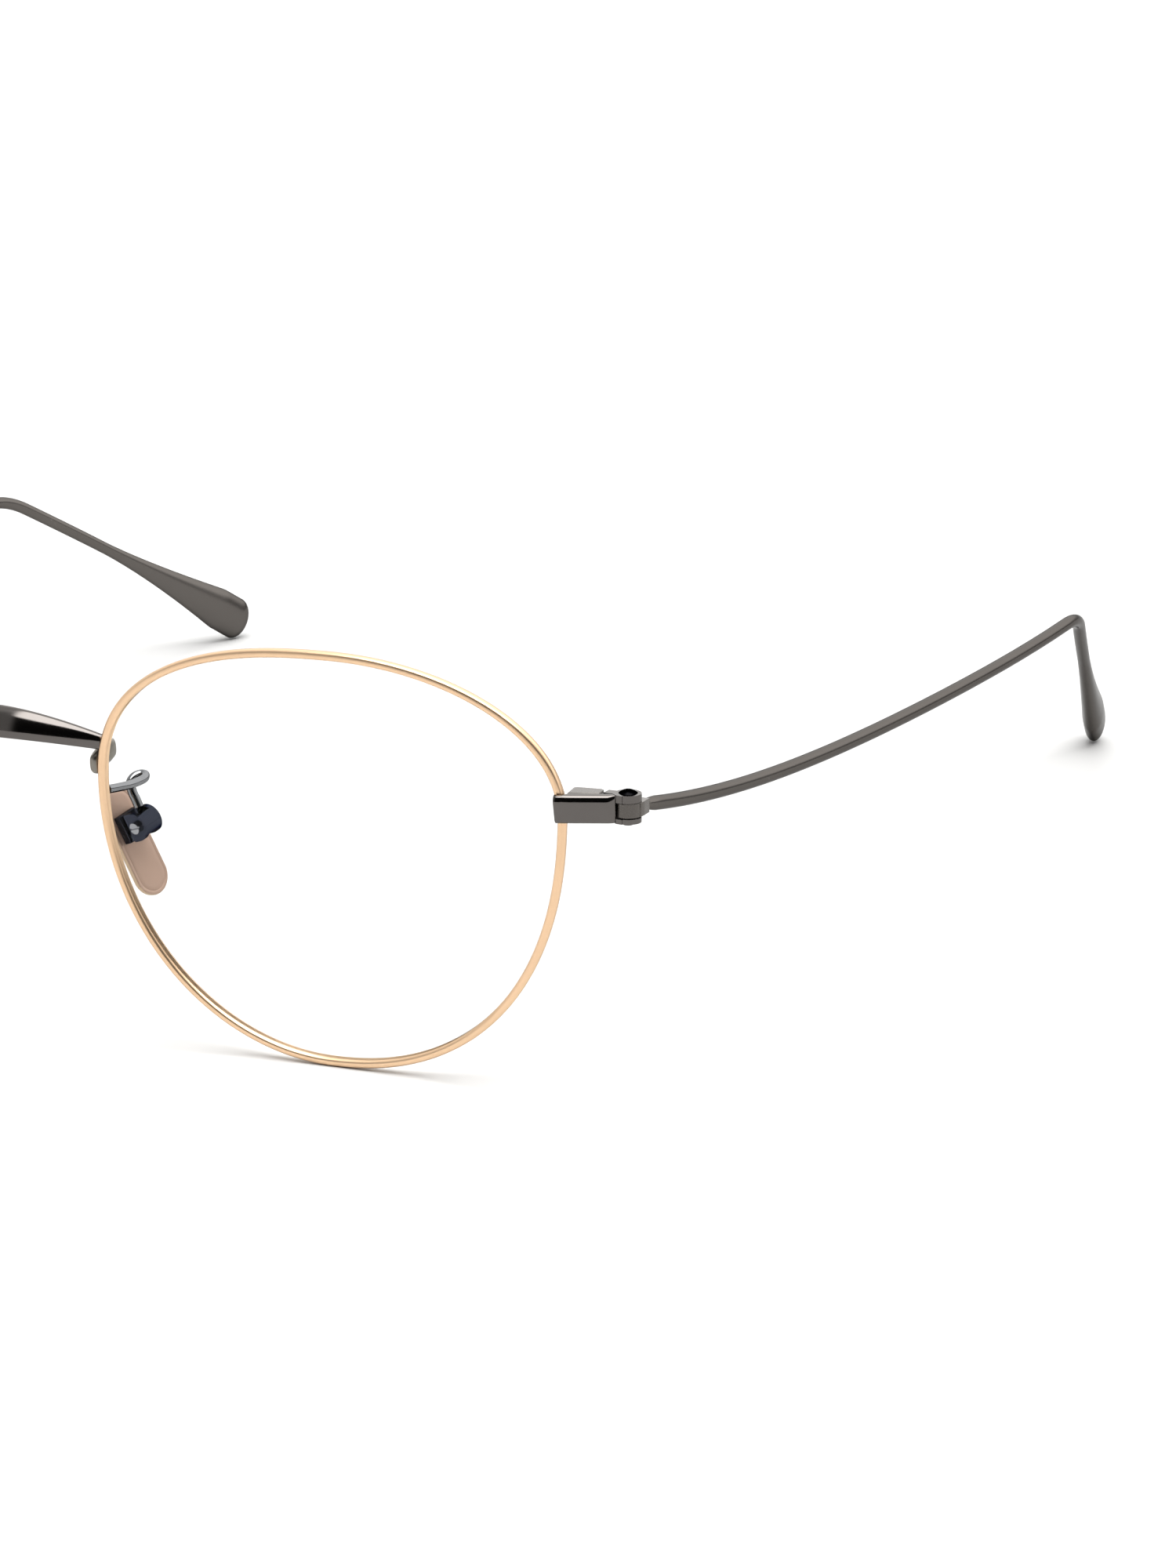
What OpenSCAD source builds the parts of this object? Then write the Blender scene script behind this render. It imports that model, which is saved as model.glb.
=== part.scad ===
// Full-rim wire spectacles: two glazed rims, a saddle bridge, screwed rim locks,
// folding skull temples on screwed hinges, and rocking metal nose pads on wire arms.
// The glasses stand on their rims and temple tips. +X is the wearer's left, -Y is the front.

/* [Lenses and rims] */
// Lens shape width along the middle of the rim wire, nasal side of its widest level
nasal_w = 24.1; // [23.6:0.1:24.6]
// The same, temporal side
temporal_w = 23.3; // [22.8:0.1:23.8]
// Height of the lens shape above its widest level
brow_h = 14.1; // [13.6:0.1:14.6]
// Depth of the lens shape below its widest level
cheek_h = 26.8; // [26.3:0.1:27.3]
// Distance between the two lens shapes at the nose
nose_gap = 20.5; // [20:0.1:21]
// Radius of the sphere that the lenses follow
base_r = 130; // [120:5:150]
// Lens thickness
lens_t = 0.9; // [0.7:0.1:0.9]
// Rim wire width, seen from the front
rim_w = 0.86; // [0.72:0.02:0.9]
// Rim wire depth, front to back
rim_d = 1.2; // [1:0.05:1.25]

/* [Stance] */
// Forward lean of the front when the glasses stand on a table, in degrees
lean = 4; // [3:0.5:5]
// Wrap of each lens towards the temple, in degrees
wrap = 4; // [3:0.5:5]

/* [Bridge] */
// Height of the bridge bar at its middle
bridge_h = 3.2; // [2.8:0.05:3.4]
// Height of the bridge bar where it meets the rims
bridge_end_h = 1.45; // [1.2:0.05:1.7]
// Thickness of the bridge bar, front to back
bridge_t = 1.5; // [1.2:0.1:1.8]
// Backward lean of the bridge bar's upper edge at its middle, in degrees
bridge_lean = 28; // [0:1:30]

/* [Hinges] */
// Height of the hinge barrel
barrel_h = 2.75; // [2.7:0.05:3]
// Radius of the hinge barrel
barrel_r = 1.27; // [1.2:0.01:1.37]
// Radius of the hinge screw
hinge_screw_r = 0.5; // [0.4:0.05:0.6]

/* [Temples] */
// Diameter of the temple wire
wire_d = 1.4; // [1.3:0.02:1.5]
// Distance from the front datum back to the bend over the ear
bend_y = 111.4; // [108:0.2:114]
// Width of the paddle at the tip
paddle_w = 5.2; // [4.6:0.1:5.4]
// Thickness of the paddle at the tip
paddle_t = 2.5; // [2:0.1:2.7]

/* [Nose pads] */
// Length of a pad
pad_l = 11.5; // [11:0.1:12]
// Width of a pad
pad_w = 4.2; // [4:0.1:4.4]
// Thickness of a pad
pad_t = 0.65; // [0.6:0.05:0.8]
// Splay of the pads, wider at the back, in degrees
pad_splay = 17; // [15:1:19]
// Frontal angle of the pads, wider at the bottom, in degrees
pad_frontal = 20; // [18:1:22]
// Vertical angle of the pads, bottom further back, in degrees
pad_vertical = 14; // [12:1:16]

/* [Hidden] */

gold = [0.87, 0.72, 0.53];
gunmetal = [0.40, 0.38, 0.36];
dark_metal = [0.16, 0.17, 0.19];
pad_metal = [0.67, 0.60, 0.53];
clear = [0.9, 0.95, 1.0, 0.3];

// The front datum lies this far ahead of the middle of the whole length
front_to_mid = 73.8;

// Lens shape: superellipse quadrants about the widest level, which is above the lens centre
widest_u = 0.6;
widest_v = 6.15;
shape_shear = 0.033;
n_brow_nasal = 2.34;
n_brow_temporal = 2;
n_cheek_nasal = 1.98;
n_cheek_temporal = 2.25;
lens_x = nose_gap / 2 + 23.9;
lens_y = 0.6;
lens_z = 20.97;
rim_steps = 72;

// Groove in the rim for the lens bevel, and the gap between them
groove_half = 0.26;
groove_r = -0.1;
bevel_gap = 0.06;

// Rim lock and endpiece levels, measured up the lens plane
lock_v = 7.45;
lock_half = 1.35;
lock_slit = 0.04;
lock_screw_u = 26.0;
lock_screw_n = -3.42;
lock_screw_r = 0.42;

// Hinge axis
barrel_x = 63.6;
barrel_y = 6.2;
barrel_z = 27.37;
lower_knuckle_h = 0.47;
slot_h = 0.12;
temple_knuckle_h = 1.36;
hinge_play = 0.05;
temple_knuckle_z = barrel_z + lower_knuckle_h + slot_h;
upper_knuckle_z = temple_knuckle_z + temple_knuckle_h + hinge_play;

// Temple path: start behind the hinge, bend over the ear, end of the paddle
temple_start = [64.4, 8.09, 28.68];
temple_bend = [68.5, bend_y, 24.2];
temple_drop = [-11.0, 36.3, -21.62];
bow_x = 1.0;
dip_z = -2.21;
dip_skew_z = -0.95;
ripple_z = -0.9;
bend_reach = 4;

// Nose pad: middle of its outer face, and its screw measured up the pad and out from it
pad_at = [9.75, 8.0, 18.35];
pad_screw_y = 1.6;
pad_screw_z = 2.45;
pad_screw_r = 0.3;
boss_half = 0.55;
boss_base = 1.35;
boss_top = 3.0;
box_half = 1.2;
box_wall = 0.5;
box_low = 1.25;

// ---- helpers -------------------------------------------------------------------------

function unit(v) = v / norm(v);
function signed_pow(x, p) = sign(x) * pow(abs(x), p);

// Closed skin through rings of equal length, with flat ends
module skin(rings) {
    n = len(rings);
    m = len(rings[0]);
    sides = [for (i = [0:n - 2], j = [0:m - 1])
        [i * m + j, i * m + (j + 1) % m, (i + 1) * m + (j + 1) % m, (i + 1) * m + j]];
    first = [for (j = [0:m - 1]) m - 1 - j];
    last = [for (j = [0:m - 1]) (n - 1) * m + j];
    points = [for (ring = rings, p = ring) p];
    polyhedron(points = points, faces = concat(sides, [first, last]), convexity = 8);
}

// Ring of k points on an ellipse at p, square to the direction t, half sizes a along w and b across it
function ellipse_ring(p, t, w, a, b, k) =
    let (side = unit(w - t * (w * t)), up = cross(side, t))
    [for (j = [0:k - 1]) p + side * (a * cos(360 * j / k)) + up * (b * sin(360 * j / k))];

// Side vectors carried along a path without twist, starting from w
function carried(path, w, i = 0) =
    i == len(path) ? [] :
    let (t = path_dir(path, i), side = unit(w - t * (w * t)))
    concat([side], carried(path, side, i + 1));

function path_dir(path, i) = unit(path[min(i + 1, len(path) - 1)] - path[max(i - 1, 0)]);

// Catmull-Rom curve through hand-chosen points, k steps a span
function spline(pts, k) = concat(
    [for (i = [0:len(pts) - 2], j = [0:k - 1])
        let (
            a = pts[max(i - 1, 0)],
            b = pts[i],
            c = pts[i + 1],
            d = pts[min(i + 2, len(pts) - 1)],
            t = j / k
        )
        0.5 * (2 * b + (c - a) * t + (2 * a - 5 * b + 4 * c - d) * t * t
            + (3 * b - a - 3 * c + d) * t * t * t)],
    [pts[len(pts) - 1]]);

module placed() {
    translate([0, -front_to_mid, 0]) children();
}

// Lens plane of the left lens: x towards the temple, y up the lens, z forward
module lens_frame() {
    translate([lens_x, lens_y, lens_z]) rotate([90 + lean, 0, 0]) rotate([0, wrap, 0]) children();
}

// Nose pad plane, left side: x towards the back edge, y up the pad, z away from the nose
module pad_frame() {
    translate(pad_at)
        rotate([0, 0, 90 - pad_splay])
        rotate([90 - pad_frontal, 0, 0])
        rotate([0, 0, pad_vertical])
        children();
}

// ---- rims and lenses -----------------------------------------------------------------

function quadrant_power(x, y) = y >= 0
    ? (x < 0 ? n_brow_nasal : n_brow_temporal)
    : (x < 0 ? n_cheek_nasal : n_cheek_temporal);

// Point of the lens shape at angle t, and its outward normal in the lens plane
function shape_point(t) =
    let (
        c = cos(t),
        s = sin(t),
        p = 2 / quadrant_power(c, s),
        y = (s >= 0 ? brow_h : cheek_h) * signed_pow(s, p),
        x = (c < 0 ? nasal_w : temporal_w) * signed_pow(c, p)
    )
    [widest_u + x + shape_shear * y, widest_v + y];
function shape_normal(t) =
    let (d = shape_point(t + 1) - shape_point(t - 1))
    unit([d[1], -d[0]]);

// Point at angle t, scaled by k towards the lens centre, r outside the line and h in front of the sphere
function shell_point(t, k, r, h) =
    let (
        q = k * (shape_point(t) + r * shape_normal(t)),
        z = sqrt(base_r * base_r - q[0] * q[0] - q[1] * q[1]) - base_r,
        out = unit([q[0], q[1], z + base_r])
    )
    [q[0], q[1], z] + h * out;

// The rim is open at the rim lock: it starts and ends a hair either side of this angle
rim_open_t = 5.2;
rim_slit_t = 0.15;

rim_profile = [
    [rim_w / 2, -rim_d / 4],
    [rim_w / 2, rim_d / 4],
    [rim_w / 4, rim_d / 2],
    [-rim_w / 4, rim_d / 2],
    [-rim_w / 2, rim_d / 2 - 0.18],
    [-rim_w / 2, groove_half],
    [groove_r, 0],
    [-rim_w / 2, -groove_half],
    [-rim_w / 2, 0.18 - rim_d / 2],
    [-rim_w / 4, -rim_d / 2],
    [rim_w / 4, -rim_d / 2]
];

module rim_shape() {
    rings = [for (i = [0:rim_steps])
        let (t = rim_open_t + rim_slit_t + (360 - 2 * rim_slit_t) * i / rim_steps)
        [for (p = rim_profile) shell_point(t, 1, p[0], p[1])]];
    skin(rings);
}

module lens_shape() {
    edge = -rim_w / 2 - bevel_gap;
    m = rim_steps;
    rows = [
        [0.4, 0, lens_t / 2],
        [0.8, 0, lens_t / 2],
        [1, edge, lens_t / 2],
        [1, edge, groove_half],
        [1, groove_r - bevel_gap, 0],
        [1, edge, -groove_half],
        [1, edge, -lens_t / 2],
        [0.8, 0, -lens_t / 2],
        [0.4, 0, -lens_t / 2]
    ];
    n = len(rows);
    ring_points = [for (row = rows, j = [0:m - 1])
        shell_point(rim_open_t + 360 * j / m, row[0], row[1], row[2])];
    poles = [[0, 0, lens_t / 2], [0, 0, -lens_t / 2]];
    bands = [for (i = [0:n - 2], j = [0:m - 1])
        [i * m + j, i * m + (j + 1) % m, (i + 1) * m + (j + 1) % m, (i + 1) * m + j]];
    front = [for (j = [0:m - 1]) [n * m, (j + 1) % m, j]];
    back = [for (j = [0:m - 1]) [n * m + 1, (n - 1) * m + j, (n - 1) * m + (j + 1) % m]];
    polyhedron(points = concat(ring_points, poles), faces = concat(bands, front, back), convexity = 4);
}

module rim_left() {
    color(gold) placed() lens_frame() rim_shape();
}

module lens_left() {
    color(clear) placed() lens_frame() lens_shape();
}

// ---- bridge --------------------------------------------------------------------------

// Middle line of the bridge bar for s from -1 to 1
bridge_half = 10.3;
function bridge_point(s) = [bridge_half * s, -1.5 + 2.9 * s * s, 31.6 - 1.72 * s * s];
function bridge_size(s) = bridge_h - (bridge_h - bridge_end_h) * pow(abs(s), 1.6);
function bridge_up(s) =
    let (a = bridge_lean * (1 - pow(s, 4)))
    [0, sin(a), cos(a)];

module bridge_bar() {
    steps = 30;
    path = [for (i = [0:steps]) bridge_point(-1 + 2 * i / steps)];
    skin([for (i = [0:steps])
        let (s = -1 + 2 * i / steps, a = bridge_size(s) / 2, b = bridge_t / 2 * (1 - 0.3 * s * s))
        ellipse_ring(path[i], path_dir(path, i), bridge_up(s), a, b, 12)]);
}

// Oval foot beside and behind the rim, brazed to it
module bridge_foot() {
    hull() {
        translate([9.35, 1.45, 28.2]) sphere(0.64, $fn = 16);
        translate([9.35, 1.5, 27.3]) sphere(0.64, $fn = 16);
        translate([10.0, 2.8, 29.4]) sphere(0.76, $fn = 16);
        translate([10.05, 2.8, 28.6]) sphere(0.76, $fn = 16);
    }
}

module bridge() {
    color(gunmetal) placed() {
        bridge_bar();
        bridge_foot();
        mirror([1, 0, 0]) bridge_foot();
    }
}

// ---- endpieces and rim locks -----------------------------------------------------------

// Plan of the endpiece: a cover over the rim, then the lug out to the hinge
endpiece_plan = [
    [22.6, -0.95], [24.0, -1.08], [28.4, -2.33], [28.8, -2.53], [28.95, -2.8], [28.55, -3.35],
    [27.7, -3.1], [24.42, -2.3], [24.42, -1.44], [22.6, -1.3]
];
// Front view of the endpiece, its inner edge following the rim
endpiece_front = [
    [23.62, lock_v - lock_half], [23.44, lock_v + lock_half],
    [30, lock_v + lock_half], [30, lock_v - lock_half]
];

// Plan outline in the lens plane, made as tall as the endpiece
module lock_prism(plan, low, high) {
    translate([0, low, 0]) rotate([-90, 0, 0]) linear_extrude(high - low) mirror([0, 1]) polygon(plan);
}

module endpiece_shape() {
    lens_frame() intersection() {
        lock_prism(endpiece_plan, lock_v - lock_half - 1, lock_v + lock_half + 1);
        translate([0, 0, -10]) linear_extrude(20) polygon(endpiece_front);
    }
}

module endpiece_left() {
    color(gunmetal) placed() endpiece_shape();
}

lock_plan = [[24.44, -2.36], [27.4, -3.08], [27.4, -4.2], [27.1, -4.4], [24.7, -4.25], [24.44, -4.05]];

module rim_lock_upper_left() {
    color(gunmetal) placed() lens_frame() difference() {
        lock_prism(lock_plan, lock_v + lock_slit, lock_v + lock_half);
        translate([lock_screw_u, lock_v - 1, lock_screw_n])
            rotate([-90, 0, 0])
            cylinder(h = 2.1, r = lock_screw_r + 0.02, $fn = 32);
    }
}

module rim_lock_lower_left() {
    color(gunmetal) placed() lens_frame() difference() {
        lock_prism(lock_plan, lock_v - lock_half, lock_v - lock_slit);
        translate([lock_screw_u, lock_v - 2, lock_screw_n])
            rotate([-90, 0, 0])
            cylinder(h = 3, r = lock_screw_r + 0.06, $fn = 32);
        translate([lock_screw_u, lock_v - lock_half - 1, lock_screw_n])
            rotate([-90, 0, 0])
            cylinder(h = 1.5, r = 0.68, $fn = 32);
    }
}

// Fillister screw, head down in the lower block, threaded into the upper one
module rim_lock_screw_left() {
    color(dark_metal) placed() lens_frame()
        translate([lock_screw_u, lock_v - lock_half, lock_screw_n])
        rotate([-90, 0, 0]) difference() {
            union() {
                translate([0, 0, 0.05]) cylinder(h = 0.43, r = 0.64, $fn = 32);
                translate([0, 0, 0.4]) cylinder(h = 2, r = lock_screw_r, $fn = 32);
            }
            translate([-1, -0.09, 0]) cube([2, 0.18, 0.22]);
        }
}

// ---- hinges ----------------------------------------------------------------------------

web_plan = [
    [61.5, 5.3], [62.35, 5.35], [62.95, 4.9], [63.6, 4.83], [63.6, 6.2], [62.5, 6.45], [61.55, 6.4]
];
spine_plan = [[61.5, 5.3], [62.05, 5.3], [62.05, 6.3], [61.55, 6.4]];

module front_knuckle(z, h) {
    translate([barrel_x, barrel_y, z]) cylinder(h = h, r = barrel_r, $fn = 48);
    translate([0, 0, z]) linear_extrude(h) polygon(web_plan);
}

module front_hinge_left() {
    upper_h = barrel_z + barrel_h - upper_knuckle_z;
    color(gunmetal) placed() difference() {
        union() {
            front_knuckle(barrel_z, lower_knuckle_h);
            front_knuckle(upper_knuckle_z, upper_h);
            translate([0, 0, barrel_z]) linear_extrude(barrel_h) polygon(spine_plan);
        }
        lens_frame() lock_prism(endpiece_plan, lock_v - 4, lock_v + 4);
        lens_frame() lock_prism([[20, 0], [27.45, 0], [27.45, -9], [20, -9]], lock_v - 4, lock_v + 4);
        translate([barrel_x, barrel_y, barrel_z - 1])
            cylinder(h = 3, r = hinge_screw_r + 0.02, $fn = 32);
        translate([barrel_x, barrel_y, upper_knuckle_z - 1])
            cylinder(h = 3, r = hinge_screw_r + 0.05, $fn = 32);
    }
}

// Domed screw that is the hinge pin, its end riveted over below the barrel
module hinge_screw_left() {
    head_r = 0.92;
    head_h = 0.36;
    dome_r = (head_r * head_r + head_h * head_h) / (2 * head_h);
    color(dark_metal) placed() translate([barrel_x, barrel_y, barrel_z]) {
        translate([0, 0, -0.28]) cylinder(h = barrel_h + 0.3, r = hinge_screw_r, $fn = 32);
        difference() {
            translate([0, 0, barrel_h + 0.01 + head_h - dome_r]) sphere(dome_r, $fn = 48);
            translate([-2, -2, barrel_h - 3.99]) cube([4, 4, 4]);
            translate([-1.5, -0.11, barrel_h + 0.2]) cube([3, 0.22, 1]);
        }
    }
}

module temple_hinge_left() {
    color(gunmetal) placed() difference() {
        translate([0, 0, temple_knuckle_z]) {
            translate([barrel_x, barrel_y, 0]) cylinder(h = temple_knuckle_h, r = barrel_r, $fn = 48);
            linear_extrude(temple_knuckle_h) polygon([
                [63.6, 6.2], [64.95, 6.1], [64.98, 6.9], [64.95, 8.0], [63.9, 8.0], [63.75, 7.5]
            ]);
        }
        translate([barrel_x, barrel_y, temple_knuckle_z - 1])
            cylinder(h = 4, r = hinge_screw_r + hinge_play, $fn = 32);
    }
}

// ---- temples ---------------------------------------------------------------------------

// Long stretch from the hinge to the bend: straight chord plus bows outward and down
function temple_run(t) =
    let (q = 4 * t * (1 - t), e = 1 - 2 * t)
    temple_start + (temple_bend - temple_start) * t
        + [bow_x * q, 0, q * (dip_z + dip_skew_z * e + ripple_z * e * e)];
// Drop behind the ear, with a slight hollow
function temple_fall(t) =
    temple_bend + temple_drop * t + 4 * t * (1 - t) * [-0.2, 0, 0.3];

run_end = 1 - bend_reach / (bend_y - temple_start[1]);
fall_start = bend_reach / norm(temple_drop);
function bend_curve(t) =
    (1 - t) * (1 - t) * temple_run(run_end) + 2 * t * (1 - t) * temple_bend
        + t * t * temple_fall(fall_start);

temple_path = concat(
    [for (i = [0:21]) temple_run(run_end * i / 22)],
    [for (i = [0:7]) bend_curve(i / 8)],
    [for (i = [0:18]) temple_fall(fall_start + (1 - fall_start) * i / 18)]
);
fall_first = 30;

// Growth of the section down the drop, from wire to paddle
function swell(i) =
    let (
        t = (i - fall_first) / (len(temple_path) - 1 - fall_first),
        k = min(1, max(0, (t - 0.42) / 0.5))
    )
    pow(k, 1.6);

module temple_left() {
    last = len(temple_path) - 1;
    tip_dir = path_dir(temple_path, last);
    body = [for (i = [0:last])
        let (
            s = swell(i),
            a = wire_d / 2 + (paddle_w - wire_d) / 2 * s,
            b = wire_d / 2 + (paddle_t - wire_d) / 2 * s
        )
        ellipse_ring(temple_path[i], path_dir(temple_path, i), [0, 0, 1], a, b, 12)];
    cap = [for (a = [25, 48, 68, 84])
        ellipse_ring(temple_path[last] + tip_dir * (2.1 * sin(a)), tip_dir, [0, 0, 1],
            paddle_w / 2 * cos(a), paddle_t / 2 * cos(a), 12)];
    color(gunmetal) placed() skin(concat(body, cap));
}

// ---- nose pads -------------------------------------------------------------------------

// Wire route: back of the rim, loop behind the lens, post down to the pad box
pad_arm_route = [
    [10.55, 1.55, 25.25], [10.65, 3.0, 25.05], [10.8, 4.8, 24.85], [11.05, 6.4, 24.85], [11.15, 7.5, 24.95],
    [10.85, 8.15, 25.1], [10.35, 8.15, 25.1], [9.95, 7.6, 24.9], [9.8, 7.15, 24.4], [10.05, 7.0, 23.6],
    [10.5, 6.95, 22.8], [10.8, 6.93, 22.15]
];

module pad_arm_left() {
    path = spline(pad_arm_route, 3);
    side = carried(path, [0, 0, 1]);
    last = len(path) - 1;
    color(dark_metal) placed() skin([for (i = [0:last])
        let (r = 0.42 + 0.06 * i / last)
        ellipse_ring(path[i], path_dir(path, i), side[i], r, r, 8)]);
}

// Open cup on the end of the arm that holds the boss of the pad
module pad_box_left() {
    color(dark_metal) placed() pad_frame() difference() {
        translate([-box_half, pad_screw_y, 0]) rotate([90, 0, 90]) linear_extrude(2 * box_half) union() {
            translate([-1.45, box_low]) square([2.9, 0.9]);
            translate([0, box_low + 0.9]) circle(1.45, $fn = 48);
        }
        translate([box_wall - box_half, pad_screw_y - 2, 0])
            cube([2 * (box_half - box_wall), 4, boss_top + 0.12]);
        translate([-3, pad_screw_y - 2, 0]) cube([6, 4, box_low]);
        translate([-3, pad_screw_y, pad_screw_z])
            rotate([0, 90, 0])
            cylinder(h = 6, r = pad_screw_r + 0.02, $fn = 32);
    }
}

module pad_screw_left() {
    color(dark_metal) placed() pad_frame()
        translate([-box_half, pad_screw_y, pad_screw_z])
        rotate([0, 90, 0]) difference() {
        union() {
            translate([0, 0, -0.02]) cylinder(h = 2 * box_half + 0.1, r = pad_screw_r, $fn = 32);
            translate([0, 0, -0.4]) cylinder(h = 0.38, r = 0.58, $fn = 32);
        }
        translate([-1, -0.08, -0.5]) cube([2, 0.16, 0.3]);
    }
}

// Block on the pad with a drilled tab that rocks inside the cup
module pad_boss_left() {
    tab_r = boss_top - pad_screw_z;
    color(dark_metal) placed() pad_frame() difference() {
        union() {
            translate([-boss_base, pad_screw_y - 1.4, 0]) cube([2 * boss_base, 2.8, 0.85]);
            translate([-boss_half, pad_screw_y - tab_r, 0]) cube([2 * boss_half, 2 * tab_r, pad_screw_z]);
            translate([-boss_half, pad_screw_y, pad_screw_z])
                rotate([0, 90, 0])
                cylinder(h = 2 * boss_half, r = tab_r, $fn = 48);
        }
        translate([-2, pad_screw_y, pad_screw_z])
            rotate([0, 90, 0])
            cylinder(h = 4, r = pad_screw_r + hinge_play, $fn = 32);
    }
}

module nose_pad_left() {
    end_y = pad_l / 2 - pad_w / 2;
    color(pad_metal) placed() pad_frame() translate([0, 0, -pad_t]) linear_extrude(pad_t) {
        translate([0, end_y]) circle(pad_w / 2, $fn = 64);
        translate([0, -end_y]) circle(pad_w / 2, $fn = 64);
        translate([-pad_w / 2, -end_y]) square([pad_w, 2 * end_y]);
    }
}

// ---- right side: mirror images -----------------------------------------------------------

module mirrored() {
    mirror([1, 0, 0]) children();
}
module rim_right() { mirrored() rim_left(); }
module lens_right() { mirrored() lens_left(); }
module endpiece_right() { mirrored() endpiece_left(); }
module rim_lock_upper_right() { mirrored() rim_lock_upper_left(); }
module rim_lock_lower_right() { mirrored() rim_lock_lower_left(); }
module rim_lock_screw_right() { mirrored() rim_lock_screw_left(); }
module front_hinge_right() { mirrored() front_hinge_left(); }
module hinge_screw_right() { mirrored() hinge_screw_left(); }
module temple_hinge_right() { mirrored() temple_hinge_left(); }
module temple_right() { mirrored() temple_left(); }
module pad_arm_right() { mirrored() pad_arm_left(); }
module pad_box_right() { mirrored() pad_box_left(); }
module pad_screw_right() { mirrored() pad_screw_left(); }
module nose_pad_right() { mirrored() nose_pad_left(); }
module pad_boss_right() { mirrored() pad_boss_left(); }

rim_left();
rim_right();
lens_left();
lens_right();
bridge();
endpiece_left();
endpiece_right();
rim_lock_upper_left();
rim_lock_upper_right();
rim_lock_lower_left();
rim_lock_lower_right();
rim_lock_screw_left();
rim_lock_screw_right();
front_hinge_left();
front_hinge_right();
hinge_screw_left();
hinge_screw_right();
temple_hinge_left();
temple_hinge_right();
temple_left();
temple_right();
pad_arm_left();
pad_arm_right();
pad_box_left();
pad_box_right();
pad_screw_left();
pad_screw_right();
nose_pad_left();
nose_pad_right();
pad_boss_left();
pad_boss_right();
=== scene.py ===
"""Full-rim wire spectacles: looks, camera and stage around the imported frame."""

import math

import bmesh
import bpy
import numpy as np
from mathutils import Matrix, Vector


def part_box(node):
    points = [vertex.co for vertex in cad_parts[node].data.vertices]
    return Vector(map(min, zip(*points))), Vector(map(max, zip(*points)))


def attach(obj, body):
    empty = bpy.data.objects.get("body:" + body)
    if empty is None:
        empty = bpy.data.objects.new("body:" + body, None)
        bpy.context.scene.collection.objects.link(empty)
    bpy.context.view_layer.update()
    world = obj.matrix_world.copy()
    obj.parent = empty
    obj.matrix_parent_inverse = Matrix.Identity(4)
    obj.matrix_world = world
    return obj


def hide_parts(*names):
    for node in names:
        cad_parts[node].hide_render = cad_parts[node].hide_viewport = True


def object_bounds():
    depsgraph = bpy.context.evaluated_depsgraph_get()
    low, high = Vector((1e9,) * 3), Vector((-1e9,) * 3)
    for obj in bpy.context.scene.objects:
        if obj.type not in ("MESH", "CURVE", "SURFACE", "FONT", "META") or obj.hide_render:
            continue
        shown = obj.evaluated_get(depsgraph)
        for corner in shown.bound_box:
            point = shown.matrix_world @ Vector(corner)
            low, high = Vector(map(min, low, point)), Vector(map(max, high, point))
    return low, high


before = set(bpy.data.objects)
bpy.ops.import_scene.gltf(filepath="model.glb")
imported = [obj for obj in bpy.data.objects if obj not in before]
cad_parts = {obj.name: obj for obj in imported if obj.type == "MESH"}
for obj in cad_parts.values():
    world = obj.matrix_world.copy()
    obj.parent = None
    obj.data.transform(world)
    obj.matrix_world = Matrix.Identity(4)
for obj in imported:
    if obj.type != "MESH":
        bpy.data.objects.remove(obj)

bl_info = {
    "name": "Wire Spectacles",
    "version": (1, 0, 0),
    "blender": (4, 5, 0),
    "location": "3D View > Sidebar > Spectacles",
    "description": "Builds the visible pieces of a pair of full-rim wire spectacles",
    "category": "Object",
}

CAD_LOW, CAD_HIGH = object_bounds()
MM = 0.001
SIDES = ("left", "right")

# The front datum, found from the left hinge axis, which stands 6.2 mm behind it
HINGE_BEHIND_DATUM = 6.2
HINGE_LOW, HINGE_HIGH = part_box("hinge_screw_left")
DATUM_Y = (HINGE_LOW.y + HINGE_HIGH.y) / 2 / MM - HINGE_BEHIND_DATUM

# Lens shape, in mm in the lens plane: superellipse quadrants about the widest level, the lens middle from
# the datum, its lean and wrap in degrees, the radius of its curve, where the rim opens in degrees, and the
# groove and the section power of the rim wire
WIDEST_U, WIDEST_V, SHEAR = 0.6, 6.15, 0.033
BROW_NASAL, BROW_TEMPORAL, CHEEK_NASAL, CHEEK_TEMPORAL = 2.34, 2.0, 1.98, 2.25
LENS_MIDDLE = (34.15, 0.6, 20.97)
LEAN, WRAP = 4.0, 4.0
BASE_R = 130.0
RIM_OPEN, RIM_SLIT = 5.2, 0.15
GROOVE_HALF, GROOVE_R, BEVEL_GAP = 0.26, -0.1, 0.06
WIRE_SECTION = 2.7

# Endpiece, in the lens plane: its level, half height, and the front and back lines of its plan
LOCK_V, LOCK_HALF = 7.45, 1.35
END_FRONT = np.array([
    (22.6, -0.95), (24.0, -1.08), (28.4, -2.33), (28.75, -2.5), (29.0, -2.79), (29.04, -2.84),
])
END_BACK = np.array([
    (22.6, -1.6), (24.41, -1.73), (24.43, -2.3), (27.7, -3.1), (28.55, -3.35), (28.95, -2.95),
])
END_LEFT_LOW, END_LEFT_HIGH, END_RIGHT = 23.62, 23.44, 29.04

# Stations along the endpiece, in mm from its nose end
END_STATIONS = np.array([
    0.3, 0.55, 0.76, 0.785, 0.805, 0.83, 1.1, 1.6, 2.2, 2.8, 3.4, 4.0, 4.5, 4.8, 5.0,
])

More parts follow.
